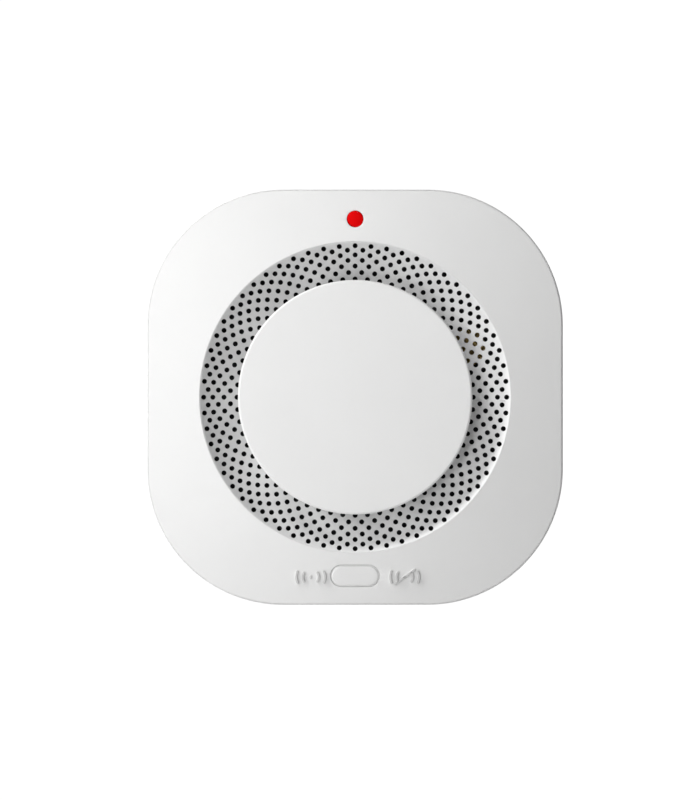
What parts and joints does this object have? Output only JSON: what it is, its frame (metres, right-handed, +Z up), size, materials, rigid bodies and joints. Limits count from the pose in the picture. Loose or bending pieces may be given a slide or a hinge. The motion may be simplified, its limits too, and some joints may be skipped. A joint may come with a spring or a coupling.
{
  "type": "smoke detector",
  "caption": "Square white wall smoke detector with rounded corners, a sunken perforated intake ring, a raised centre cap, an indicator, a test button and a twist-off bracket.",
  "frame": {"origin": "middle of the bracket's wall face, on the wall plane", "axes": "-Y out of the wall towards the viewer, +Z up the wall through the indicator, +X to the viewer's right"},
  "size_m": [0.1004, 0.036, 0.1],
  "materials": {
    "white_shell": "fine satin",
    "white_grille": "fine grain",
    "white_cap": "fine satin",
    "white_button": "satin",
    "white_bracket": "moulded",
    "red_lens": "translucent red",
    "red_led": "clear red",
    "dark_plastic": "matt",
    "optic_resin": "gloss",
    "steel_mesh": "woven",
    "board_green": "solder mask",
    "siren_black": "moulded",
    "piezo_brass": "rolled",
    "chip_black": "moulded",
    "coil_black": "ferrite",
    "capacitor_can": "sleeved",
    "cell_jacket": "printed foil, plain",
    "contact_steel": "nickel plated",
    "lead_black": "insulation",
    "lead_red": "insulation",
    "screw_zinc": "zinc plated"
  },
  "bodies": {
    "bracket": {"mounting_bracket": "white_bracket"},
    "detector": {"rear_case": "white_shell", "front_cover": "white_shell", "grille_ring": "white_grille", "centre_cap": "white_cap", "indicator_lens": "red_lens", "status_led": "red_led", "tact_switch": "dark_plastic", "battery_1": "cell_jacket", "battery_2": "cell_jacket", "contact_bridge": "contact_steel", "contact_plate_negative": "contact_steel", "contact_plate_positive": "contact_steel", "contact_spring_1": "contact_steel", "contact_spring_2": "contact_steel", "main_board": "board_green", "microcontroller": "chip_black", "siren_coil": "coil_black", "storage_capacitor": "capacitor_can", "chamber_base": "dark_plastic", "chamber_labyrinth": "dark_plastic", "insect_mesh": "steel_mesh", "infrared_emitter": "optic_resin", "photodiode": "optic_resin", "siren_case": "siren_black", "piezo_disc": "piezo_brass", "battery_lead_black": "lead_black", "battery_lead_red": "lead_red", "case_screw_1": "screw_zinc", "case_screw_2": "screw_zinc", "case_screw_3": "screw_zinc", "case_screw_4": "screw_zinc", "board_screw_1": "screw_zinc", "board_screw_2": "screw_zinc"},
    "button": {"test_button": "white_button", "switch_actuator": "dark_plastic"},
    "battery_door": {"battery_door": "white_shell"}
  },
  "joints": [
    {"name": "bracket_twist", "type": "hinge", "parent": "bracket", "child": "detector", "pos_m": [0, 0, 0], "axis": [0, -1, 0], "range_deg": [0, 15]},
    {"name": "battery_door_slide", "type": "slide", "parent": "detector", "child": "battery_door", "axis": [-1, 0, 0], "range_m": [0, 0.036]},
    {"name": "test_button_press", "type": "slide", "parent": "detector", "child": "button", "axis": [0, 1, 0], "range_m": [0, 0.0008], "stiffness_N_per_m": 400}
  ]
}
